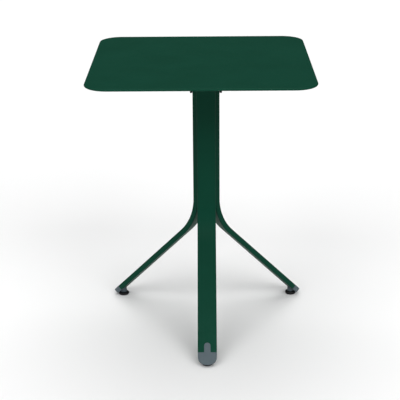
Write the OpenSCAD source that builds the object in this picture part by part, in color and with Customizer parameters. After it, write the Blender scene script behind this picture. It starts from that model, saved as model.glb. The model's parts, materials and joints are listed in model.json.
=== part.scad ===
// Bistro table with a tilting square top on a three-legged column.
// Three flat tubes stand back to back as the column and bend outward as the legs.
// +Z is up, -Y is the front (the side of the single leg), z = 0 is the floor.
// The origin is on the floor, at the middle of the whole table's outline.

/* [Top] */
// Height of the top's upper face above the floor
table_h = 740; // [720:1:780]
// Side of the square top
top_side = 570; // [540:5:640]
// Corner radius of the top, seen from above
top_corner_r = 59; // [30:1:90]
// Thickness of the rolled edge
top_edge_h = 6; // [5:0.5:10]
// Thickness of the top's sheet
top_sheet = 1.5; // [1:0.25:2]
// Width of the sheet that is turned back under the edge
hem_w = 15; // [10:1:25]
// Sideways setting of the top in the bracket's slots
top_setting = -12; // [-12:1:12]

/* [Column and legs] */
// Width of each flat tube
tube_w = 50; // [48:1:52]
// Thickness of each flat tube
tube_t = 14.5; // [12:0.5:15]
// Outer corner radius of the tube
tube_corner_r = 2.5; // [2:0.25:3]
// Wall of the tube
tube_wall = 1.5; // [1:0.25:2]
// Height at which the tubes begin to bend outward
bend_z = 356.5; // [345:0.5:370]
// Bend radius on the tube's centreline
bend_r = 152; // [140:1:170]
// Angle between the straight leg and the vertical
leg_lean = 44.5; // [43:0.25:46]
// Distance from the column's axis to the middle of the tube's end
leg_reach = 281; // [276:1:286]

/* [Feet] */
// Straight length of the plug's nose before its half-round end
nose_straight = 9.5; // [6:0.5:14]
// Width of the plug's tongue in the tube's outer wall
tongue_w = 17; // [12:1:22]
// Length of the plug's tongue
tongue_len = 26; // [20:0.5:30]
// Diameter of the neck above the glide
neck_d = 18; // [16:1:20]
// Distance from the column's axis to the glide
glide_reach = 284.3; // [283:0.1:286]
// Diameter of the glide's pad
pad_d = 30; // [26:1:34]
// Thickness of the glide's pad
pad_h = 8; // [6:0.5:8]
// Diameter of the glide's threaded stem
stem_d = 8; // [6:1:8]

/* [Tilting bracket] */
// Depth of the pivot below the top's upper face
pivot_depth = 66; // [64:1:70]
// Diameter of the pivot rod
rod_d = 10; // [8:1:10]
// Thickness of each cheek
cheek_t = 5; // [4:0.5:6]
// Radius of the cheek's lower end
cheek_r = 22; // [18:1:24]
// Thickness of the bracket's plate
plate_t = 5; // [4:0.5:5]
// Length of the cam lever, from its pin to its tip
lever_len = 84; // [70:1:110]

/* [Hidden] */
$fn = 64;

// directions of the three legs, seen from above
front_dir = -90;
right_dir = 30;
left_dir = 150;
leg_dirs = [front_dir, right_dir, left_dir];

green = [0.07, 0.25, 0.19];
grey = [0.36, 0.41, 0.43];
black = [0.06, 0.06, 0.065];
steel = [0.7, 0.71, 0.72];

// small distances used throughout: part_gap between fixed pieces, run_gap on a radius that turns,
// rest_gap where a piece stops against another, join_lap and join_step where solids fuse
eps = 0.01;
part_gap = 0.1;
run_gap = 0.05;
rest_gap = 0.3;
join_lap = 0.5;
join_step = 0.01;

// column: the tubes' rounded inner corners meet in pairs around a three-sided hollow
column_inner = (tube_w / 4 + tube_corner_r / 2) / cos(30) - tube_corner_r + part_gap / 2;
column_outer = column_inner + tube_t;
groove_reach = ((column_inner + tube_corner_r) + (tube_w / 2 - tube_corner_r) * sqrt(3)) / 2;
column_mid = column_inner + tube_t / 2;
cap_t = 3;
column_side = (column_outer - tube_corner_r) * cos(30) + (tube_w / 2 - tube_corner_r) * sin(30)
              + tube_corner_r;

// leg: upright, bend and straight
straight_len = (leg_reach - column_mid - bend_r * (1 - cos(leg_lean))) / sin(leg_lean);
leg_end_z = bend_z - bend_r * sin(leg_lean) - straight_len * cos(leg_lean);
nose_r = tube_w / 2;
nose_reach = leg_reach + (nose_straight + nose_r) * sin(leg_lean) + tube_t / 2 * cos(leg_lean);

// the column's axis, measured from the origin
column_x = -top_setting;
column_y = (nose_reach - top_side / 2) / 2;

// top and its rails
edge_r = top_edge_h / 2;
skin_z = table_h - top_sheet;
rail_h = 12;
rail_w = 40;
rail_flange = 10;
rail_len = 480;
rail_sheet = 1.5;
rail_spacing = 126;
rail_z = skin_z - rail_h;
nut_len = 9;
nut_flange_t = 2;

// pivot and bracket
pivot_z = table_h - pivot_depth;
plate_z = rail_z - plate_t;
plate_rise = plate_z - pivot_z;
column_head = 36;
column_top_z = pivot_z + column_head;
bush_flange = 1;
sleeve_half = column_side + rest_gap;
cheek_gap = 0.2;
cheek_x = sleeve_half + bush_flange + cheek_gap;
cheek_out = cheek_x + cheek_t;
plate_w = 176;
plate_front = 52;
plate_back = 52;
plate_corner_r = 8;
slot_y = 44;
slot_w = 6.6;
slot_travel = 24;
rib_t = 5;
rib_drop = 27;
rib_reach = 32;

// pivot parts
sleeve_od = 20;
bush_od = 14;
bush_len = 16;
bush_flange_inset = 0.5;
bush_flange_d = 2 * (cheek_r - bush_flange_inset);
washer_t = 1.2;
rod_head_d = 18;
rod_head_h = 6;
rod_end_d = 8;
rod_washer_d = 21;
bar_d = 8;
bar_proud = 1;
bar_sleeve_d = 12;
bar_sleeve_end = 1;
bar_y = -40;
bar_rise = column_outer + bar_sleeve_d / 2 + rest_gap;
bar_boss_r = 11;

// cam lever
cam_washer_t = 3.5;
cam_washer_d = 24;
cam_r = 10.4;
cam_throw = 1;
cam_gap = 10.4;
cam_t = 5;
lever_h = cam_gap + 2 * cam_t;
pin_d = 10;
pin_proud = 0.5;
fork_room = 1;
pin_x = cheek_out + cam_washer_t + rest_gap + cam_r + cam_throw;
arm_t = 7;
arm_h = 14;
grip_len = 46;
grip_wall = 1.5;

// screws
screw_d = 6;
screw_head_d = 11;
screw_head_h = 4;
screw_end_gap = 2;
hex_d = 6;
hex_depth = 3;
screw_washer_d = 16;
nut_d = 9;
nut_flange_d = 13;

// feet
plug_floor_gap = pad_h + 1;
neck_z = pad_h + 0.5;
neck_top = 22;
insert_d = 12;
insert_len = 14;
insert_z = neck_z + 1;
stem_top = 29;
stem_room = 1;
stem_seat = 1.5;
pad_edge_r = 1.5;
spigot_len = 32;
tongue_depth = tube_wall + 1;

// cap and stitch welds
cap_inset = 1;
bead_d = 4;
bead_len = 24;
bead_inset = 12;
weld_low = bend_z + bead_inset;
weld_high = pivot_z - sleeve_od / 2 - bead_inset - bead_len;
weld_heights = [weld_low, (weld_low + weld_high) / 2, weld_high];

// rest buffer
buffer_d = 16;
buffer_y = 16;
buffer_stem_d = 5;
barb_d = 7;
barb_h = 3;

// ---------- shared shapes ----------

// a rectangle with rounded corners, centred
module rounded_rect(w, h, r) {
    square([w - 2 * r, h], center = true);
    square([w, h - 2 * r], center = true);
    for (sx = [-1, 1], sy = [-1, 1])
        translate([sx * (w / 2 - r), sy * (h / 2 - r)])
            circle(r = r);
}

// a straight slot along X, centred
module slot_shape(length, width) {
    square([length - width, width], center = true);
    for (side = [-1, 1])
        translate([side * (length - width) / 2, 0])
            circle(d = width);
}

// points where the outer tangent of two circles touches them; side is 1 or -1
function tangent_point(c1, r1, c2, r2, side) =
    let (d = c2 - c1,
         turn = atan2(d[1], d[0]) + side * acos((r1 - r2) / norm(d)))
    [c1 + r1 * [cos(turn), sin(turn)], c2 + r2 * [cos(turn), sin(turn)]];

// a cylinder along X
module x_rod(x, length, d) {
    translate([x, 0, 0])
        rotate([0, 90, 0])
            cylinder(h = length, d = d);
}

// ---------- places ----------

// the column's axis
module on_column() {
    translate([column_x, column_y, 0])
        children();
}

// one leg's own frame: X points away from the column's axis
module on_leg(dir) {
    on_column()
        rotate([0, 0, dir])
            children();
}

// the tube's end: Z runs out along the leg, X is the normal of its outer face
module at_leg_end() {
    translate([leg_reach, 0, leg_end_z])
        rotate([0, 180 - leg_lean, 0])
            rotate([0, 0, 180])
                children();
}

// the pivot's middle
module at_pivot() {
    on_column()
        translate([0, 0, pivot_z])
            children();
}

// the four bracket screws, which follow the top's setting in the slots
module at_screws(z) {
    on_column()
        for (sx = [-1, 1], sy = [-1, 1])
            translate([top_setting + sx * rail_spacing / 2, sy * slot_y, z])
                children();
}

// ---------- tabletop and rails ----------

// section of the sheet at the edge: x = 0 is the corner's centre, z = 0 the underside
module edge_section() {
    edge_x = top_corner_r - edge_r;
    translate([0, top_edge_h - top_sheet])
        square([edge_x, top_sheet]);
    translate([top_corner_r - hem_w, 0])
        square([hem_w - edge_r, top_sheet]);
    translate([edge_x, edge_r])
        difference() {
            circle(r = edge_r);
            circle(r = edge_r - top_sheet);
            translate([-top_edge_h, -top_edge_h])
                square([top_edge_h, 2 * top_edge_h]);
        }
}

module tabletop() {
    flat = top_side - 2 * top_corner_r;
    color(green)
        translate([column_x + top_setting, column_y, table_h - top_edge_h]) {
            translate([-flat / 2, -flat / 2, top_edge_h - top_sheet])
                cube([flat, flat, top_sheet]);
            for (turn = [0 : 90 : 270])
                rotate([0, 0, turn]) {
                    translate([flat / 2, flat / 2, 0])
                        rotate([90, 0, 0])
                            linear_extrude(flat)
                                edge_section();
                    translate([flat / 2, flat / 2, 0])
                        rotate_extrude(angle = 90)
                            edge_section();
                }
        }
}

// a hat-section rail under the top, open at both ends
module rail(side) {
    web = rail_w / 2;
    color(green)
        translate([column_x + top_setting + side * rail_spacing / 2, column_y + rail_len / 2, rail_z])
            rotate([90, 0, 0])
                difference() {
                    linear_extrude(rail_len)
                        union() {
                            translate([-web, 0])
                                square([rail_w, rail_h]);
                            translate([-web - rail_flange, rail_h - rail_sheet])
                                square([rail_w + 2 * rail_flange, rail_sheet]);
                        }
                    translate([0, 0, -eps])
                        linear_extrude(rail_len + 2 * eps)
                            translate([-web + rail_sheet, rail_sheet])
                                square([rail_w - 2 * rail_sheet, rail_h]);
                    for (sy = [-1, 1])
                        translate([0, -eps, rail_len / 2 + sy * slot_y])
                            rotate([-90, 0, 0])
                                cylinder(h = rail_sheet + 2 * eps, d = nut_d + part_gap);
                }
}

module rivet_nuts() {
    color(steel)
        at_screws(rail_z)
            difference() {
                union() {
                    cylinder(h = nut_len, d = nut_d);
                    translate([0, 0, rail_sheet])
                        cylinder(h = nut_flange_t, d = nut_flange_d);
                }
                translate([0, 0, -eps])
                    cylinder(h = rail_h, d = screw_d + 2 * run_gap);
            }
}

// ---------- tilting bracket ----------

// the cheek's outline: x is the distance towards the back, y the height over the pivot
module cheek_shape() {
    pivot = [0, 0];
    bar = [bar_y, bar_rise];
    back = [plate_back - plate_corner_r, plate_rise];
    front_line = tangent_point(pivot, cheek_r, bar, bar_boss_r, 1);
    back_line = tangent_point(pivot, cheek_r, back, 0, -1);
    circle(r = cheek_r);
    translate(bar)
        circle(r = bar_boss_r);
    polygon([pivot, front_line[0], front_line[1], [bar_y - bar_boss_r, bar_rise],
             [bar_y - bar_boss_r, plate_rise + eps], back + [0, eps], back_line[0]]);
}

module tilt_bracket() {
    color(black)
        at_pivot()
            difference() {
                union() {
                    for (side = [-1, 1])
                        translate([side * (cheek_x + cheek_t / 2) - cheek_t / 2, 0, 0])
                            rotate([90, 0, 90])
                                linear_extrude(cheek_t)
                                    cheek_shape();
                    translate([0, (plate_back - plate_front) / 2, plate_rise])
                        linear_extrude(plate_t)
                            rounded_rect(plate_w, plate_front + plate_back, plate_corner_r);
                    for (side = [0, 1])
                        mirror([side, 0, 0])
                            translate([cheek_out - eps, rib_t / 2, plate_rise + eps])
                                rotate([90, 0, 0])
                                    linear_extrude(rib_t)
                                        polygon([[0, 0], [rib_reach, 0], [0, -rib_drop]]);
                }
                x_rod(-plate_w / 2, plate_w, rod_d + 2 * run_gap);
                translate([0, bar_y, bar_rise])
                    x_rod(-plate_w / 2, plate_w, bar_d + part_gap);
                for (sx = [-1, 1], sy = [-1, 1])
                    translate([sx * rail_spacing / 2, sy * slot_y, plate_rise - eps])
                        linear_extrude(plate_t + 2 * eps)
                            slot_shape(slot_travel + slot_w, slot_w);
            }
}

module bracket_screws() {
    head_z = plate_z - washer_t - screw_head_h;
    color(steel)
        at_screws(head_z)
            difference() {
                union() {
                    cylinder(h = screw_head_h, d = screw_head_d);
                    cylinder(h = skin_z - screw_end_gap - head_z, d = screw_d);
                }
                translate([0, 0, -eps])
                    cylinder(h = hex_depth, d = hex_d, $fn = 6);
            }
}

module screw_washers() {
    color(steel)
        at_screws(plate_z - washer_t)
            difference() {
                cylinder(h = washer_t, d = screw_washer_d);
                translate([0, 0, -eps])
                    cylinder(h = washer_t + 2 * eps, d = screw_d + 2 * part_gap);
            }
}

// ---------- pivot, stop and cam lever ----------

module pivot_rod() {
    head_x = -cheek_out - washer_t - rod_head_h;
    dome_r = (rod_head_d * rod_head_d / 4 + rod_head_h * rod_head_h) / (2 * rod_head_h);
    shoulder_x = cheek_out + cam_washer_t;
    color(steel)
        at_pivot() {
            intersection() {
                x_rod(head_x, rod_head_h, rod_head_d);
                translate([head_x + dome_r, 0, 0])
                    sphere(r = dome_r);
            }
            x_rod(head_x + rod_head_h - eps, shoulder_x - head_x - rod_head_h, rod_d);
            x_rod(shoulder_x - join_lap, pin_x + pin_d / 2 - shoulder_x, rod_end_d);
        }
}

module rod_washer() {
    color(steel)
        at_pivot()
            difference() {
                x_rod(-cheek_out - washer_t, washer_t, rod_washer_d);
                x_rod(-plate_w, 2 * plate_w, rod_d + 2 * part_gap);
            }
}

module stop_bar() {
    color(steel)
        at_pivot()
            translate([0, bar_y, bar_rise])
                x_rod(-cheek_out - bar_proud, 2 * (cheek_out + bar_proud), bar_d);
}

module stop_sleeve() {
    length = 2 * (cheek_x - bar_sleeve_end);
    color(black)
        at_pivot()
            translate([0, bar_y, bar_rise])
                difference() {
                    x_rod(-length / 2, length, bar_sleeve_d);
                    x_rod(-length, 2 * length, bar_d + part_gap);
                }
}

module cam_washer() {
    color(black)
        at_pivot()
            difference() {
                x_rod(cheek_out, cam_washer_t, cam_washer_d);
                x_rod(0, plate_w, rod_d + 2 * part_gap);
            }
}

module lever_pin() {
    color(steel)
        at_pivot()
            translate([pin_x, 0, 0])
                difference() {
                    cylinder(h = lever_h + 2 * pin_proud, d = pin_d, center = true);
                    x_rod(-pin_d, 2 * pin_d, rod_end_d + part_gap);
                }
}

// the lever's arm seen from above: it leaves the cam and bows slightly outward
module arm_shape(from_y, grow) {
    bow_r = 160;
    sweep = asin(lever_len / bow_r);
    intersection() {
        translate([bow_r, 0])
            difference() {
                circle(r = bow_r + arm_t / 2 + grow, $fn = 180);
                circle(r = bow_r - arm_t / 2 - grow, $fn = 180);
            }
        translate([-arm_t, from_y])
            square([2 * lever_len, lever_len - from_y]);
    }
    translate([bow_r - bow_r * cos(sweep), lever_len])
        circle(r = arm_t / 2 + grow);
}

module cam_lever() {
    color(black)
        at_pivot()
            translate([pin_x, 0, 0])
                difference() {
                    union() {
                        translate([-cam_throw, 0, -lever_h / 2])
                            cylinder(h = lever_h, r = cam_r);
                        translate([0, 0, -arm_h / 2])
                            linear_extrude(arm_h)
                                arm_shape(0, 0);
                    }
                    cylinder(h = lever_h * 2, d = pin_d + 2 * run_gap, center = true);
                    translate([-2 * cam_r, -2 * cam_r, -cam_gap / 2])
                        cube([4 * cam_r, 2 * cam_r + pin_d / 2 + fork_room, cam_gap]);
                }
}

module lever_grip() {
    color(black)
        at_pivot()
            translate([pin_x, 0, 0])
                difference() {
                    translate([0, 0, -arm_h / 2 - grip_wall])
                        linear_extrude(arm_h + 2 * grip_wall)
                            arm_shape(lever_len - grip_len, grip_wall);
                    translate([0, 0, -arm_h / 2])
                        linear_extrude(arm_h)
                            arm_shape(0, eps);
                }
}

// ---------- column and legs ----------

// the tube's section, or its hollow: x is across its thickness, y across its width
module tube_section(shrink) {
    rounded_rect(tube_t - 2 * shrink, tube_w - 2 * shrink, max(tube_corner_r - shrink, 0.8));
}

// The bent tube as one solid: upright, bend and straight; over lengthens both its ends.
// The straight lengths lap the bend a little, a hair larger, so that all three fuse.
module tube_path(shrink, over) {
    translate([column_mid, 0, bend_z - join_lap])
        linear_extrude(column_top_z - cap_t - bend_z + join_lap + over)
            tube_section(shrink - join_step);
    translate([column_mid + bend_r, 0, bend_z])
        rotate([90, 0, 0])
            rotate([0, 0, 180])
                rotate_extrude(angle = leg_lean, $fn = 180)
                    translate([bend_r, 0])
                        tube_section(shrink);
    at_leg_end()
        translate([0, 0, -straight_len - join_lap])
            linear_extrude(straight_len + join_lap + over)
                tube_section(shrink - join_step);
}

// the notch in the tube's outer wall that takes the plug's tongue
module tongue_shape(w) {
    translate([0, (-tongue_len + w / 2) / 2 + eps])
        square([w, tongue_len - w / 2 + 2 * eps], center = true);
    translate([0, -tongue_len + w / 2])
        circle(d = w);
}

module tongue_solid(w, depth) {
    at_leg_end()
        translate([tube_t / 2 - depth, 0, 0])
            rotate([90, 0, 90])
                linear_extrude(depth + eps)
                    tongue_shape(w);
}

module leg(dir) {
    color(green)
        on_leg(dir)
            difference() {
                tube_path(0, 0);
                tube_path(tube_wall, eps);
                tongue_solid(tongue_w + part_gap, tongue_depth);
                if (dir != front_dir)
                    rotate([0, 0, -dir])
                        translate([0, 0, pivot_z])
                            x_rod(-tube_w, 2 * tube_w, sleeve_od + 2 * part_gap);
            }
}

// a six-sided plate over the three tubes' ends
module column_cap() {
    face = column_outer - cap_inset;
    half = tube_w / 2 - cap_inset;
    corners = [for (dir = leg_dirs, side = [-1, 1])
               face * [cos(dir), sin(dir)] + side * half * [-sin(dir), cos(dir)]];
    color(green)
        on_column()
            translate([0, 0, column_top_z - cap_t])
                difference() {
                    linear_extrude(cap_t)
                        polygon(corners);
                    translate([0, buffer_y, -eps])
                        cylinder(h = cap_t + 2 * eps, d = buffer_stem_d);
                }
}

// stitches in the three grooves between the tubes
module column_welds() {
    color(green)
        on_column()
            difference() {
                for (dir = leg_dirs, z = weld_heights)
                    rotate([0, 0, dir + 60])
                        translate([groove_reach + bead_d / 4, 0, z])
                            cylinder(h = bead_len, d = bead_d);
                for (dir = leg_dirs)
                    rotate([0, 0, dir])
                        translate([column_mid, 0, bend_z])
                            linear_extrude(column_top_z - bend_z)
                                tube_section(-eps);
            }
}

// a rubber button: its stem passes the cap and a barb holds it from below
module rest_buffer() {
    barb_top = -cap_t - part_gap;
    color(black)
        on_column()
            translate([0, buffer_y, column_top_z]) {
                cylinder(h = plate_z - column_top_z - rest_gap, d = buffer_d);
                translate([0, 0, barb_top - eps])
                    cylinder(h = 2 * eps - barb_top, d = buffer_stem_d - part_gap);
                translate([0, 0, barb_top - barb_h])
                    cylinder(h = barb_h, d = barb_d);
            }
}

module pivot_sleeve() {
    color(green)
        at_pivot()
            difference() {
                x_rod(-sleeve_half, 2 * sleeve_half, sleeve_od);
                x_rod(-tube_w, 2 * tube_w, bush_od);
            }
}

// plastic bushes whose wide flanges keep the cheeks off the column
module pivot_bushes() {
    color(black)
        at_pivot()
            for (side = [0, 1])
                mirror([side, 0, 0])
                    difference() {
                        union() {
                            x_rod(sleeve_half - bush_len, bush_len, bush_od - 2 * eps);
                            x_rod(sleeve_half, bush_flange, bush_flange_d);
                        }
                        x_rod(0, tube_w, rod_d + 2 * run_gap);
                    }
}

// ---------- feet ----------

// outline of the nose on the leg's face: x is across the leg, y runs out along it
module nose_shape() {
    translate([-tube_w / 2, 0])
        square([tube_w, nose_straight]);
    translate([0, nose_straight])
        circle(r = nose_r);
}

module plug(dir) {
    color(grey)
        on_leg(dir)
            difference() {
                union() {
                    intersection() {
                        at_leg_end()
                            translate([-tube_t / 2, 0, 0])
                                rotate([90, 0, 90])
                                    linear_extrude(tube_t)
                                        nose_shape();
                        at_leg_end()
                            translate([-tube_t, -tube_w, 0])
                                cube([2 * tube_t, 2 * tube_w, 2 * tube_w]);
                    }
                    at_leg_end()
                        translate([0, 0, -spigot_len])
                            linear_extrude(spigot_len + eps)
                                tube_section(tube_wall + part_gap);
                    tongue_solid(tongue_w, tongue_depth);
                    translate([glide_reach, 0, neck_z])
                        cylinder(h = neck_top - neck_z, d = neck_d);
                }
                difference() {
                    translate([leg_reach - tube_w, -tube_w, -tube_t])
                        cube([3 * tube_w, 2 * tube_w, plug_floor_gap + tube_t]);
                    translate([glide_reach, 0, neck_z])
                        cylinder(h = neck_top - neck_z, d = neck_d);
                }
                translate([glide_reach, 0, neck_z - eps])
                    cylinder(h = insert_z + insert_len - neck_z + eps, d = insert_d + part_gap);
                translate([glide_reach, 0, neck_z])
                    cylinder(h = stem_top + stem_room - neck_z, d = stem_d + stem_room);
            }
}

module insert(dir) {
    color(steel)
        on_leg(dir)
            translate([glide_reach, 0, insert_z])
                difference() {
                    cylinder(h = insert_len - part_gap, d = insert_d);
                    translate([0, 0, -eps])
                        cylinder(h = insert_len + 2 * eps, d = stem_d + 2 * run_gap);
                }
}

module glide_stem(dir) {
    color(steel)
        on_leg(dir)
            translate([glide_reach, 0, stem_seat])
                cylinder(h = stem_top - stem_seat, d = stem_d);
}

// a round pad: flat sole, rounded rim and a hub around the stem
module glide_pad(dir) {
    pad_r = pad_d / 2;
    color(black)
        on_leg(dir)
            translate([glide_reach, 0, 0])
                difference() {
                    rotate_extrude() {
                        square([pad_r - pad_edge_r, pad_h]);
                        translate([0, pad_edge_r])
                            square([pad_r, pad_h - 2 * pad_edge_r]);
                        for (z = [pad_edge_r, pad_h - pad_edge_r])
                            translate([pad_r - pad_edge_r, z])
                                circle(r = pad_edge_r);
                    }
                    translate([0, 0, stem_seat])
                        cylinder(h = pad_h, d = stem_d + 2 * run_gap);
                }
}

tabletop();
rail(-1);  // left_rail
rail(1);  // right_rail
rivet_nuts();
tilt_bracket();
bracket_screws();
screw_washers();
pivot_rod();
rod_washer();
stop_bar();
stop_sleeve();
cam_washer();
lever_pin();
cam_lever();
lever_grip();
leg(front_dir);  // front_leg
leg(left_dir);  // left_leg
leg(right_dir);  // right_leg
column_cap();
column_welds();
rest_buffer();
pivot_sleeve();
pivot_bushes();
plug(front_dir);  // front_plug
plug(left_dir);  // left_plug
plug(right_dir);  // right_plug
insert(front_dir);  // front_insert
insert(left_dir);  // left_insert
insert(right_dir);  // right_insert
glide_stem(front_dir);  // front_glide_stem
glide_stem(left_dir);  // left_glide_stem
glide_stem(right_dir);  // right_glide_stem
glide_pad(front_dir);  // front_glide_pad
glide_pad(left_dir);  // left_glide_pad
glide_pad(right_dir);  // right_glide_pad
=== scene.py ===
"""Looks of the bistro table: powder-coated steel, moulded plastic feet, zinc hardware, studio light."""
import json
import math

import bmesh
import bpy
from mathutils import Matrix, Vector


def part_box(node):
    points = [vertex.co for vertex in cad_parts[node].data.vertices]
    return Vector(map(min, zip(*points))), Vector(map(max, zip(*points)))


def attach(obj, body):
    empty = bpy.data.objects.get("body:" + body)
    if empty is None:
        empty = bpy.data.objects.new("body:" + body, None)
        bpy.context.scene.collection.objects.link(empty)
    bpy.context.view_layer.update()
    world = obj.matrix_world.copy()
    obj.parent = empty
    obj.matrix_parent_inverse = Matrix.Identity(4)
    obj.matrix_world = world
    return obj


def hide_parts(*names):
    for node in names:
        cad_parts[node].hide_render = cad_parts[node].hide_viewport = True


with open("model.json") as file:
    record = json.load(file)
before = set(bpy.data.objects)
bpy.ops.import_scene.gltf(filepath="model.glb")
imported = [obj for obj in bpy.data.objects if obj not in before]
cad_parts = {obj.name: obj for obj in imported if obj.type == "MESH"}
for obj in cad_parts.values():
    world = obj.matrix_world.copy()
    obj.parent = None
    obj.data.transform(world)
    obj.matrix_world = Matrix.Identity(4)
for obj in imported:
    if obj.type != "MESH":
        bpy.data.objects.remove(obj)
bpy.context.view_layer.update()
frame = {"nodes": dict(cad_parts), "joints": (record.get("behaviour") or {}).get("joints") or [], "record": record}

NODES = frame["nodes"]
MM = 0.001
TURN = 2 * math.pi
SHARP_PIECE = 38         # degrees between faces from which an edge of a built mesh is shaded sharp
SHARP_CAD = 30           # the same for copies of CAD nodes, where it also picks the edges to round
FEET = ("front", "left", "right")

# places, from the joints: the tilting pivot, which is on the column's axis, and the lever's pin
JOINT_AT = {joint["name"]: Vector(joint["pos_m"]) for joint in frame["joints"] if "pos_m" in joint}
PIVOT = JOINT_AT["top_tilt"]
LEVER_PIN = JOINT_AT["lever_swing"]


# ---------- node material helpers ----------

def srgb(red, green, blue):
    """A display colour, 0 to 255, as the linear colour that shaders take."""
    linear = [v / 255 / 12.92 if v <= 10 else ((v / 255 + 0.055) / 1.055) ** 2.4 for v in (red, green, blue)]
    return (*linear, 1.0)


class Shader:
    """One procedural material, built node by node in object coordinates."""

    def __init__(self, name, roughness, **fixed):
        self.material = bpy.data.materials.new(name)
        self.material.use_nodes = True
        self.tree = self.material.node_tree
        self.bsdf = self.tree.nodes["Principled BSDF"]
        self.bsdf.inputs["Roughness"].default_value = roughness
        for socket, value in fixed.items():
            self.bsdf.inputs[socket.replace("_", " ")].default_value = value
        self.place = self.tree.nodes.new("ShaderNodeTexCoord").outputs["Object"]

    def link(self, source, target):
        """Joins an output socket to an input socket."""
        self.tree.links.new(source, target)

    def stretched(self, scale, turn=0.0):
        """Object coordinates turned about Z and scaled unevenly, for drawn or scratched textures."""
        mapping = self.tree.nodes.new("ShaderNodeMapping")
        mapping.inputs["Rotation"].default_value = (0, 0, math.radians(turn))
        mapping.inputs["Scale"].default_value = scale
        self.link(self.place, mapping.inputs["Vector"])
        return mapping.outputs["Vector"]

    def height(self):
        """Height above the floor, in metres, at rest."""
        node = self.tree.nodes.new("ShaderNodeSeparateXYZ")
        self.link(self.place, node.inputs["Vector"])
        return node.outputs["Z"]

    def noise(self, size, detail=2.0, roughness=0.5, place=None):
        """Noise whose features are about size metres across."""
        node = self.tree.nodes.new("ShaderNodeTexNoise")
        node.inputs["Scale"].default_value = 1 / size
        node.inputs["Detail"].default_value = detail
        node.inputs["Roughness"].default_value = roughness
        self.link(place or self.place, node.inputs["Vector"])
        return node.outputs["Fac"]

    def spread(self, value, low, high, to_low=0.0, to_high=1.0):
        """value stretched from low..high to to_low..to_high."""
        node = self.tree.nodes.new("ShaderNodeMapRange")
        for socket, number in zip(("From Min", "From Max", "To Min", "To Max"), (low, high, to_low, to_high)):
            node.inputs[socket].default_value = number
        self.link(value, node.inputs["Value"])
        return node.outputs["Result"]

    def mix(self, factor, first, second):
        """first where factor is 0, second where it is 1; either may be a colour or a socket."""
        node = self.tree.nodes.new("ShaderNodeMix")
        node.data_type = "RGBA"
        self.link(factor, node.inputs["Factor"])
        for socket, value in (("A", first), ("B", second)):
            target = [i for i in node.inputs if i.name == socket and i.type == "RGBA"][0]
            if isinstance(value, tuple):
                target.default_value = value
            else:
                self.link(value, target)
        return [o for o in node.outputs if o.type == "RGBA"][0]

    def total(self, first, second, weight=1.0):
        """first plus weight times second."""
        node = self.tree.nodes.new("ShaderNodeMath")
        node.operation = "MULTIPLY_ADD"
        self.link(second, node.inputs[0])
        node.inputs[1].default_value = weight
        self.link(first, node.inputs[2])
        return node.outputs["Value"]

    def product(self, first, second):
        """first times second."""
        node = self.tree.nodes.new("ShaderNodeMath")
        node.operation = "MULTIPLY"
        self.link(first, node.inputs[0])
        self.link(second, node.inputs[1])
        return node.outputs["Value"]

    def colour(self, socket):
        """Sets the base colour from a socket."""
        self.link(socket, self.bsdf.inputs["Base Color"])

    def rough(self, socket):
        """Sets the roughness from a socket."""
        self.link(socket, self.bsdf.inputs["Roughness"])

    def bump(self, height, distance, strength=1.0):
        """Relief in which a height of 1 stands distance metres proud."""
        node = self.tree.nodes.new("ShaderNodeBump")
        node.inputs["Strength"].default_value = strength
        node.inputs["Distance"].default_value = distance
        self.link(height, node.inputs["Height"])
        self.link(node.outputs["Normal"], self.bsdf.inputs["Normal"])


# ---------- materials ----------

def powder_coat(name, deep, light, dust, gloss):
    """Powder coat on steel: orange peel, a cloudy tone, fine hairlines, and dust low on the legs."""
    shader = Shader(name, gloss, Specular_IOR_Level=0.065)
    cloud = shader.noise(0.09, 3.0)
    grain = shader.noise(0.0011, 2.0)
    peel = shader.noise(0.0045, 1.0)
    hairline = shader.noise(0.0009, 3.0, 0.6, shader.stretched((1.0, 0.02, 1.0), 34))
    tone = shader.mix(shader.spread(cloud, 0.3, 0.7), deep, light)
    low_down = shader.spread(shader.height(), 0.14, 0.0)
    speck = shader.spread(shader.noise(0.0028, 4.0, 0.7), 0.58, 0.8, 0.0, 0.1)
    settled = shader.product(shader.spread(shader.noise(0.014, 4.0, 0.7), 0.45, 0.7, 0.0, 0.1), low_down)
    shader.colour(shader.mix(shader.total(speck, settled), tone, dust))
    worn = shader.total(shader.total(grain, cloud, 0.6), hairline, 0.5)
    shader.rough(shader.spread(worn, 0.65, 1.45, gloss - 0.09, gloss + 0.09))
    shader.bump(shader.total(grain, peel, 1.4), 0.00005, 0.6)
    return shader.material


def moulded_plastic(name, deep, light, scuff, gloss, grain_size=0.0008):
    """Injection-moulded nylon: spark-eroded grain, faint flow clouds, scuffs where it meets the floor."""
    shader = Shader(name, gloss, Specular_IOR_Level=0.25)
    flow = shader.noise(0.022, 2.0)
    grain = shader.noise(grain_size, 2.0)
    scratch = shader.noise(0.0012, 3.0, 0.6, shader.stretched((1.0, 0.08, 1.0), 58))
    low_down = shader.spread(shader.height(), 0.03, 0.002)
    scuffed = shader.product(shader.spread(scratch, 0.56, 0.72, 0.0, 0.35), low_down)
    tone = shader.mix(shader.spread(flow, 0.3, 0.7), deep, light)
    shader.colour(shader.mix(scuffed, tone, scuff))
    shader.rough(shader.spread(shader.total(grain, scratch, 0.4), 0.45, 0.95, gloss - 0.07, gloss + 0.09))
    shader.bump(shader.total(grain, scratch, 0.3), 0.00003, 0.6)
    return shader.material


def rubber(name, deep, light):
    """Matt black rubber with a dusty bloom."""
    shader = Shader(name, 0.8, Specular_IOR_Level=0.3)
    bloom = shader.noise(0.008, 4.0, 0.65)
    grain = shader.noise(0.0006, 2.0)
    shader.colour(shader.mix(shader.spread(bloom, 0.4, 0.75), deep, light))
    shader.rough(shader.spread(bloom, 0.3, 0.7, 0.72, 0.88))
    shader.bump(grain, 0.00004, 0.5)
    return shader.material


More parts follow.
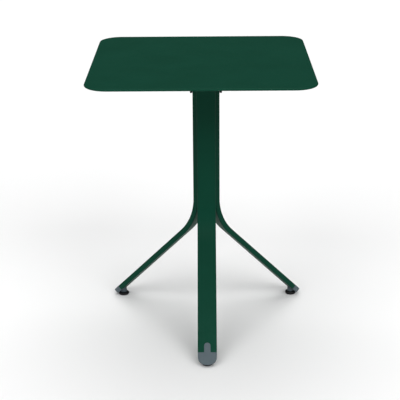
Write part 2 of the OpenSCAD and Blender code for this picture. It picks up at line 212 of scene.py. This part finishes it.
def zinc_steel(name):
    """Bright zinc-plated steel: spangled tone, fine drawn lines, slightly milky."""
    shader = Shader(name, 0.3, Metallic=1.0)
    patch = shader.noise(0.006, 3.0, 0.6)
    line = shader.noise(0.0006, 2.0, 0.5, shader.stretched((1.0, 0.12, 1.0)))
    shader.colour(shader.mix(shader.spread(patch, 0.3, 0.7), srgb(168, 170, 172), srgb(204, 205, 203)))
    shader.rough(shader.spread(shader.total(patch, line, 0.5), 0.4, 1.1, 0.24, 0.42))
    shader.bump(line, 0.00002, 0.4)
    return shader.material


MATERIALS = {
    "green_powder_coat": powder_coat(
        "green_powder_coat", srgb(4, 59, 43), srgb(6, 62, 46), srgb(60, 92, 80), 0.5),
    "black_powder_coat": powder_coat(
        "black_powder_coat", srgb(18, 19, 20), srgb(25, 26, 27), srgb(70, 72, 72), 0.5),
    "zinc_steel": zinc_steel("zinc_steel"),
    "grey_plastic": moulded_plastic(
        "grey_plastic", srgb(77, 90, 96), srgb(83, 96, 102), srgb(58, 62, 64), 0.5),
    "black_plastic": moulded_plastic(
        "black_plastic", srgb(22, 22, 24), srgb(30, 30, 32), srgb(62, 62, 60), 0.45),
    "black_rubber": rubber("black_rubber", srgb(20, 20, 21), srgb(36, 36, 36)),
}
SLOT_OF = {part["node"]: part["material_slot"] for part in frame["record"]["subparts"]}


def dress(piece, slot):
    """Gives a mesh object the material of one of the record's slots."""
    piece.data.materials.clear()
    piece.data.materials.append(MATERIALS[slot])


# ---------- mesh tools ----------

def smooth_shade(mesh, sharp):
    """Smooth shading, except at edges sharper than sharp degrees."""
    mesh.shade_smooth()
    mesh.set_sharp_from_angle(angle=math.radians(sharp))


def add_piece(name, mesh, slot, body, stands_for=()):
    """Puts a mesh in the scene in a slot's material, riding on a body and standing for CAD nodes."""
    piece = bpy.data.objects.new(name, mesh)
    bpy.context.scene.collection.objects.link(piece)
    dress(piece, slot)
    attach(piece, body)
    if stands_for:
        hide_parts(*stands_for)
    return piece


def make_piece(name, shells, slot, body, stands_for=()):
    """A piece built from (points, faces) shells."""
    work = bmesh.new()
    for points, faces in shells:
        corners = [work.verts.new(point) for point in points]
        for face in faces:
            work.faces.new([corners[i] for i in face])
    bmesh.ops.remove_doubles(work, verts=work.verts, dist=0.001 * MM)
    bmesh.ops.recalc_face_normals(work, faces=work.faces)
    mesh = bpy.data.meshes.new(name)
    work.to_mesh(mesh)
    work.free()
    smooth_shade(mesh, SHARP_PIECE)
    add_piece(name, mesh, slot, body, stands_for)


def moved(shell, matrix):
    """A shell with its points carried by a matrix."""
    points, faces = shell
    return [matrix @ Vector(point) for point in points], faces


def soften(corners, radius, steps=4):
    """A polyline whose inner corners are rounded by curves that start radius before each corner."""
    soft = [Vector(corners[0])]
    for before, corner, after in zip(corners, corners[1:], corners[2:]):
        before, corner, after = Vector(before), Vector(corner), Vector(after)
        reach = min(radius, (before - corner).length * 0.48, (after - corner).length * 0.48)
        start = corner + (before - corner).normalized() * reach
        end = corner + (after - corner).normalized() * reach
        for step in range(steps + 1):
            t = step / steps
            soft.append((1 - t) ** 2 * start + 2 * t * (1 - t) * corner + t * t * end)
    soft.append(Vector(corners[-1]))
    return soft


def skin(rings, closed=False):
    """Faces between rings of equal length, each ring closed on itself; closed joins the last to the first."""
    sides = len(rings[0])
    points = [point for ring in rings for point in ring]
    faces = []
    for r in range(len(rings) if closed else len(rings) - 1):
        here, there = r * sides, (r + 1) % len(rings) * sides
        for i in range(sides):
            j = (i + 1) % sides
            faces.append((here + i, here + j, there + j, there + i))
    if not closed:
        faces.append(tuple(reversed(range(sides))))
        faces.append(tuple(len(points) - sides + i for i in range(sides)))
    return points, faces


def turned(profile, steps=64, shape=None):
    """A solid turned about Z from (radius, height) points; shape may change the radius at an angle."""
    rings = []
    for radius, height in profile:
        ring = []
        for i in range(steps):
            angle = TURN * i / steps
            r = shape(angle, radius, height) if shape else radius
            ring.append((r * math.cos(angle), r * math.sin(angle), height))
        rings.append(ring)
    return skin(rings)


def hexagon(angle, apothem):
    """Distance to a hexagon's side in a direction."""
    sixth = TURN / 6
    return apothem / math.cos((angle + sixth / 2) % sixth - sixth / 2)


def threaded_rod(low, high, diameter, pitch, steps=36, rings_per_turn=6):
    """A screw thread about Z from low to high, with both ends chamfered."""
    depth = 0.6 * pitch
    core = diameter / 2 - depth

    def thread(angle, radius, height):
        """Distance from the axis to the thread's flank."""
        phase = (height / pitch - angle / TURN) % 1
        flank = min(1, 1.25 * abs(2 * phase - 1))
        from_end = min(height - low, high - height)
        return min(core + depth * flank, core - 0.3 * depth + from_end)

    count = round((high - low) / pitch * rings_per_turn)
    return turned([(1, low + (high - low) * i / count) for i in range(count + 1)], steps, thread)


def weld_bead(path, radius, ripple=1.7 * MM, sides=10):
    """A rippled weld bead along a polyline, rounded off at both ends."""
    path = [Vector(point) for point in path]
    length = sum((b - a).length for a, b in zip(path, path[1:]))
    count = max(8, round(length / ripple * 5))
    rings = []
    for step in range(count + 1):
        along = length * step / count
        rest = along
        for a, b in zip(path, path[1:]):
            stretch = (b - a).length
            if rest <= stretch + 1e-9:
                break
            rest -= stretch
        ahead = (b - a).normalized()
        middle = a + ahead * min(rest, stretch)
        side = ahead.orthogonal().normalized()
        other = ahead.cross(side)
        to_end = min(along, length - along) / radius
        rounding = math.sqrt(max(0.02, 1 - max(0, 1 - to_end) ** 2))
        ring = []
        for i in range(sides):
            angle = TURN * i / sides
            wave = 1 + 0.09 * math.sin(TURN * along / ripple)
            outward = side * math.cos(angle) + other * math.sin(angle)
            ring.append(middle + radius * rounding * wave * outward)
        rings.append(ring)
    return skin(rings)


def rounded_copy(node, name, body, width, segments=3):
    """A CAD node's own shape with its sharp edges rounded; the node's mesh stays as it is."""
    work = bmesh.new()
    work.from_mesh(NODES[node].data)
    bmesh.ops.remove_doubles(work, verts=work.verts, dist=0.002 * MM)
    bmesh.ops.dissolve_limit(work, angle_limit=math.radians(0.5), verts=work.verts, edges=work.edges)
    bmesh.ops.dissolve_degenerate(work, dist=0.05 * MM, edges=work.edges)
    weight = work.edges.layers.float.new("bevel_weight_edge")
    for edge in work.edges:
        if edge.is_manifold and edge.calc_face_angle() > math.radians(SHARP_CAD):
            edge[weight] = 1.0
    mesh = bpy.data.meshes.new(name)
    work.to_mesh(mesh)
    work.free()
    smooth_shade(mesh, SHARP_CAD)
    bevel = add_piece(name, mesh, SLOT_OF[node], body, [node]).modifiers.new("rounded_edges", "BEVEL")
    bevel.width = width
    bevel.segments = segments
    bevel.limit_method = "WEIGHT"
    bevel.use_clamp_overlap = False
    bevel.harden_normals = True


# ---------- feet ----------

def make_foot_plug(foot):
    """The moulded foot: the CAD plug's own shape with every edge melted to a small moulding radius."""
    node, name = foot + "_plug", foot + "_foot"
    mesh = NODES[node].data.copy()
    mesh.name = name
    piece = add_piece(name, mesh, SLOT_OF[node], "base", [node])
    one_skin = piece.modifiers.new("one_skin", "REMESH")
    one_skin.mode = "VOXEL"
    one_skin.voxel_size = 0.5 * MM
    one_skin.use_smooth_shade = True
    melt = piece.modifiers.new("moulding_radius", "SMOOTH")
    melt.factor = 0.5
    melt.iterations = 14
    fewer_faces = piece.modifiers.new("fewer_faces", "DECIMATE")
    fewer_faces.ratio = 0.3
    piece.modifiers.new("even_shading", "WEIGHTED_NORMAL")


def make_glide_pad(foot):
    """A moulded pad: ring-shaped sole, fluted rim to turn it by hand, sloping deck and a hub at the stem."""
    low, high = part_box(foot + "_glide_pad")
    at = JOINT_AT[foot + "_glide_turn"]
    rim = (high.x - low.x) / 2
    top = high.z
    deck = top - 1.2 * MM
    bore = 4.05 * MM
    profile = [(0, 0.7 * MM), (8.5 * MM, 0.7 * MM)]
    profile += soften([(8.5 * MM, 0.7 * MM), (10 * MM, 0), (rim - 0.6 * MM, 0), (rim, 1.6 * MM),
                       (rim, deck - 0.9 * MM), (rim - 1.8 * MM, deck), (8.4 * MM, deck + 0.4 * MM),
                       (7.4 * MM, top), (bore, top)], 0.8 * MM)[1:]
    profile += [(bore, 1.6 * MM), (0, 1.6 * MM)]
    flutes = 28

    def fluted(angle, radius, height):
        """Presses the flutes into the middle of the rim."""
        edge = min(1, max(0, (radius - rim + 1.2 * MM) / (1.2 * MM)))
        middle = min(1, max(0, min(height - 0.8 * MM, deck - height) / (1 * MM)))
        return radius - 0.55 * MM * edge * middle * (0.5 + 0.5 * math.cos(flutes * angle)) ** 2

    shell = moved(turned(profile, flutes * 6, fluted), Matrix.Translation((at.x, at.y, 0)))
    make_piece(foot + "_pad", [shell], "black_plastic", foot + "_glide", [foot + "_glide_pad"])


def make_glide_stem(foot):
    """The glide's M8 stem, with its real thread."""
    low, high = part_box(foot + "_glide_stem")
    at = JOINT_AT[foot + "_glide_turn"]
    shell = moved(threaded_rod(low.z, high.z, 8 * MM, 1.25 * MM), Matrix.Translation((at.x, at.y, 0)))
    make_piece(foot + "_stem", [shell], "zinc_steel", foot + "_glide_screw", [foot + "_glide_stem"])


# ---------- screws, welds, grip and rubber parts ----------

def make_bracket_screws():
    """Four M6 button-head screws with hexagon sockets."""
    low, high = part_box("bracket_screws")
    head_r, head_h, socket, shank = 5.5 * MM, 4 * MM, 2.5 * MM, 3 * MM
    profile = [(0, 2.6 * MM), (socket, 2.4 * MM), (socket, 0.3 * MM), (socket + 0.3 * MM, 0)]
    profile += soften([(socket + 0.35 * MM, 0), (head_r - 1 * MM, 0), (head_r, 1.6 * MM), (head_r, head_h),
                       (shank, head_h)], 1.2 * MM)
    profile += [(0, head_h)]

    def with_socket(angle, radius, height):
        """Makes the socket hexagonal and leaves the head round."""
        return hexagon(angle, radius) if radius < socket + 0.32 * MM else radius

    head = turned(profile, 48, with_socket)
    thread = threaded_rod(head_h - 0.5 * MM, high.z - low.z, 2 * shank, 1 * MM, 30)
    number = 0
    for x in (low.x + head_r, high.x - head_r):
        for y in (low.y + head_r, high.y - head_r):
            number += 1
            place = Matrix.Translation((x, y, low.z)) @ Matrix.Rotation(math.radians(17 * number), 4, "Z")
            shells = [moved(head, place), moved(thread, place)]
            stands_for = ["bracket_screws"] if number == 1 else []
            make_piece(f"bracket_screw_{number}", shells, "zinc_steel", "tilting_top", stands_for)


def make_stitch_welds():
    """Stitch welds in the three grooves between the column's tubes."""
    low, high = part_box("column_welds")
    bead_r, bead_len = 2 * MM, 24 * MM
    groove = high.y - PIVOT.y - bead_r
    heights = (low.z, (low.z + high.z - bead_len) / 2, high.z - bead_len)
    shells = []
    for quarter in (90, 210, 330):
        x = PIVOT.x + groove * math.cos(math.radians(quarter))
        y = PIVOT.y + groove * math.sin(math.radians(quarter))
        for z in heights:
            shells.append(weld_bead([(x, y, z), (x, y, z + bead_len)], bead_r))
    make_piece("stitch_welds", shells, "green_powder_coat", "base", ["column_welds"])


def make_cap_weld():
    """A fine weld round the six-sided plate that closes the column."""
    cap_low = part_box("column_cap")[0]
    face = PIVOT.y - cap_low.y
    half = 24 * MM
    ring = []
    for direction in (-90, 30, 150):
        out = Vector((math.cos(math.radians(direction)), math.sin(math.radians(direction)), 0))
        across = Vector((-out.y, out.x, 0))
        for side in (-1, 1):
            corner = Vector((PIVOT.x, PIVOT.y, cap_low.z + 0.4 * MM)) + face * out + side * half * across
            ring.append(corner)
    ring.append(ring[0])
    make_piece("cap_weld", [weld_bead(ring, 0.9 * MM, 1.5 * MM)], "green_powder_coat", "base")


def make_bracket_welds():
    """Fillet welds along the outside of both cheeks, on either side of the ribs."""
    bar_low, bar_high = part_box("stop_bar")
    plate_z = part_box("screw_washers")[1].z
    bar_proud = 1 * MM
    cheek_out = (bar_high.x - bar_low.x) / 2 - bar_proud
    shells = []
    for side in (-1, 1):
        x = PIVOT.x + side * (cheek_out + 0.4 * MM)
        for y0, y1 in ((-46, -7), (7, 40)):
            ends = [(x, PIVOT.y + y * MM, plate_z - 0.4 * MM) for y in (y0, y1)]
            shells.append(weld_bead(ends, 2.2 * MM, 2.2 * MM))
        for y in (-2.6, 2.6):
            ends = [(x, PIVOT.y + y * MM, plate_z - drop * MM) for drop in (4, 24)]
            shells.append(weld_bead(ends, 1.3 * MM))
    make_piece("bracket_welds", shells, "black_powder_coat", "tilting_top")


def make_spot_welds():
    """Rows of spot-weld dimples on the rails' flanges."""
    shells = []
    dimple = turned([(0, -0.25 * MM), (1.6 * MM, -0.3 * MM), (2.3 * MM, -0.5 * MM), (3 * MM, -0.45 * MM),
                     (3.6 * MM, 0.1 * MM), (0, 0.1 * MM)], 28)
    for rail in ("left_rail", "right_rail"):
        low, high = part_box(rail)
        flange_z = high.z - 1.5 * MM
        count = 9
        for edge in (low.x + 5 * MM, high.x - 5 * MM):
            for i in range(count):
                y = low.y + 14 * MM + (high.y - low.y - 28 * MM) * i / (count - 1)
                shells.append(moved(dimple, Matrix.Translation((edge, y, flange_z))))
    make_piece("rail_spot_welds", shells, "green_powder_coat", "tilting_top")


def make_lever_grip():
    """A ribbed rubber grip drawn over the lever's arm, following its bow."""
    low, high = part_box("lever_grip")
    bow_r = 160 * MM
    half_t, half_h = 5 * MM, (high.z - low.z) / 2
    start = math.asin((low.y - PIVOT.y) / bow_r)
    end = math.asin((high.y - half_t - PIVOT.y) / bow_r)
    length = (end - start) * bow_r + half_t
    rib = 4.2 * MM
    count = 84
    sides = 32
    rings = []
    for step in range(count + 1):
        along = length * step / count
        angle = start + along / bow_r
        bow_x = LEVER_PIN.x + bow_r - bow_r * math.cos(angle)
        middle = Vector((bow_x, PIVOT.y + bow_r * math.sin(angle), PIVOT.z))
        across = Vector((-math.cos(angle), math.sin(angle), 0))
        from_tip = (length - along) / half_t
        tip = math.sqrt(max(0.0, 1 - max(0, 1 - from_tip) ** 2))
        lead = min(1, 0.86 + along / (5 * MM) * 0.14)
        in_ribs = 5 * MM < along < length - 7 * MM
        ribbed = 1 - 0.09 * (0.5 + 0.5 * math.cos(TURN * along / rib)) if in_ribs else 1
        ring = []
        for i in range(sides):
            turn = TURN * i / sides
            c, s = math.cos(turn), math.sin(turn)
            squared = (c ** 4 + s ** 4) ** -0.25
            wide = half_t * max(0.02, tip) * lead * ribbed * squared * c
            tall = half_h * max(0.02, 0.55 + 0.45 * tip if tip > 0 else 0) * lead * ribbed * squared * s
            ring.append(middle + across * wide + Vector((0, 0, tall)))
        rings.append(ring)
    make_piece("ribbed_grip", [skin(rings)], "black_rubber", "clamp_lever", ["lever_grip"])


def make_rest_buffer():
    """A rubber button with a domed, grooved top, held in the cap by its barbed stem."""
    low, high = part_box("rest_buffer")
    x, y = (low.x + high.x) / 2, (low.y + high.y) / 2
    cap_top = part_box("column_cap")[1].z
    r = (high.x - low.x) / 2
    profile = [(0, low.z), (1.6 * MM, low.z), (3.5 * MM, low.z + 2.2 * MM), (3.5 * MM, low.z + 3 * MM),
               (2.4 * MM, low.z + 3.1 * MM), (2.4 * MM, cap_top)]
    profile += soften([(2.5 * MM, cap_top), (r, cap_top), (r, cap_top + 4 * MM),
                       (r - 0.8 * MM, cap_top + 5 * MM), (r, cap_top + 6 * MM),
                       (r - 0.6 * MM, high.z - 1 * MM), (r - 3 * MM, high.z - 0.1 * MM),
                       (r - 4 * MM, high.z - 0.6 * MM), (r - 5 * MM, high.z)], 0.7 * MM)
    profile += [(0, high.z)]
    shell = moved(turned(profile, 48), Matrix.Translation((x, y, 0)))
    make_piece("buffer_button", [shell], "black_rubber", "base", ["rest_buffer"])


# ---------- floor, light and camera ----------

def mix_shaders(tree, factor, first, second, target):
    """Sends the first shader to target where factor is 0, and the second where it is 1."""
    either = tree.nodes.new("ShaderNodeMixShader")
    tree.links.new(factor, either.inputs[0])
    tree.links.new(first.outputs[0], either.inputs[1])
    tree.links.new(second.outputs[0], either.inputs[2])
    tree.links.new(either.outputs[0], target)


def make_floor():
    """A plain pale floor, clear when it is seen from below."""
    shader = Shader("floor_paint", 0.75, Specular_IOR_Level=0.1)
    patch = shader.noise(0.6, 3.0)
    shader.colour(shader.mix(patch, (0.93, 0.93, 0.93, 1.0), (0.94, 0.94, 0.94, 1.0)))
    clear = shader.tree.nodes.new("ShaderNodeBsdfTransparent")
    from_below = shader.tree.nodes.new("ShaderNodeNewGeometry").outputs["Backfacing"]
    surface = shader.tree.nodes["Material Output"].inputs["Surface"]
    mix_shaders(shader.tree, from_below, shader.bsdf, clear, surface)
    half = 30.0
    mesh = bpy.data.meshes.new("studio_floor")
    corners = [(-half, -half, 0), (half, -half, 0), (half, half, 0), (-half, half, 0)]
    mesh.from_pydata(corners, [], [(0, 1, 2, 3)])
    mesh.materials.append(shader.material)
    floor = bpy.data.objects.new("studio_floor", mesh)
    floor.location.z = -0.2 * MM
    bpy.context.scene.collection.objects.link(floor)


def make_sun(name, azimuth, elevation, width, strength):
    """A very soft distant light; azimuth 0 comes from the front, 90 from the right."""
    light = bpy.data.lights.new(name, "SUN")
    light.angle = math.radians(width)
    light.energy = strength
    lamp = bpy.data.objects.new(name, light)
    a, e = math.radians(azimuth), math.radians(elevation)
    towards = Vector((math.sin(a) * math.cos(e), -math.cos(a) * math.cos(e), math.sin(e)))
    lamp.rotation_mode = "QUATERNION"
    lamp.rotation_quaternion = towards.to_track_quat("Z", "Y")
    bpy.context.scene.collection.objects.link(lamp)


def make_world():
    """Dim even light from all round, and a white backdrop where the camera sees past the floor."""
    world = bpy.data.worlds.new("studio")
    world.use_nodes = True
    tree = world.node_tree
    ambient = tree.nodes["Background"]
    ambient.inputs["Color"].default_value = (1.0, 1.0, 1.0, 1.0)
    ambient.inputs["Strength"].default_value = 0.05
    backdrop = tree.nodes.new("ShaderNodeBackground")
    backdrop.inputs["Color"].default_value = (1.0, 1.0, 1.0, 1.0)
    backdrop.inputs["Strength"].default_value = 1.0
    seen = tree.nodes.new("ShaderNodeLightPath").outputs["Is Camera Ray"]
    mix_shaders(tree, seen, ambient, backdrop, tree.nodes["World Output"].inputs["Surface"])
    bpy.context.scene.world = world


def make_lights():
    """Two soft keys from the front and a broad one from above."""
    make_sun("left_key", -35, 44, 40, 1.1)
    make_sun("right_key", 30, 40, 40, 1.45)
    make_sun("overhead", 180, 75, 60, 1.75)
    bpy.context.scene.view_settings.view_transform = "Standard"


def make_camera():
    """A long lens, higher than the table and looking down at it."""
    back, up = 2.906, 1.4546
    down, yaw, roll = 20.83, 0.352, -0.434
    data = bpy.data.cameras.new("camera")
    data.sensor_width = 36.0
    data.lens = 102.24
    camera = bpy.data.objects.new("camera", data)
    camera.matrix_world = (
        Matrix.Translation((PIVOT.x, PIVOT.y - back, up))
        @ Matrix.Rotation(math.radians(yaw), 4, "Z")
        @ Matrix.Rotation(math.radians(90 - down), 4, "X")
        @ Matrix.Rotation(math.radians(roll), 4, "Z")
    )
    bpy.context.scene.collection.objects.link(camera)
    bpy.context.scene.camera = camera


# ---------- the build ----------

for node_name, node_object in NODES.items():
    dress(node_object, SLOT_OF[node_name])

for foot_name in FEET:
    make_glide_pad(foot_name)
    make_glide_stem(foot_name)
    make_foot_plug(foot_name)
make_bracket_screws()
make_stitch_welds()
make_cap_weld()
make_bracket_welds()
make_spot_welds()
make_lever_grip()
make_rest_buffer()
rounded_copy("tilt_bracket", "bracket", "tilting_top", 0.9 * MM)
rounded_copy("cam_lever", "lever_arm", "clamp_lever", 0.9 * MM)
rounded_copy("column_cap", "cap_plate", "base", 0.6 * MM)
rounded_copy("pivot_bushes", "flanged_bushes", "base", 0.25 * MM, 2)
for small in ("screw_washers", "rod_washer", "cam_washer", "stop_bar", "stop_sleeve", "pivot_rod"):
    rounded_copy(small, "edged_" + small, "tilting_top", 0.3 * MM, 2)
for rail_name in ("left_rail", "right_rail"):
    rounded_copy(rail_name, "folded_" + rail_name, "tilting_top", 0.5 * MM, 2)

make_floor()
make_world()
make_lights()
make_camera()
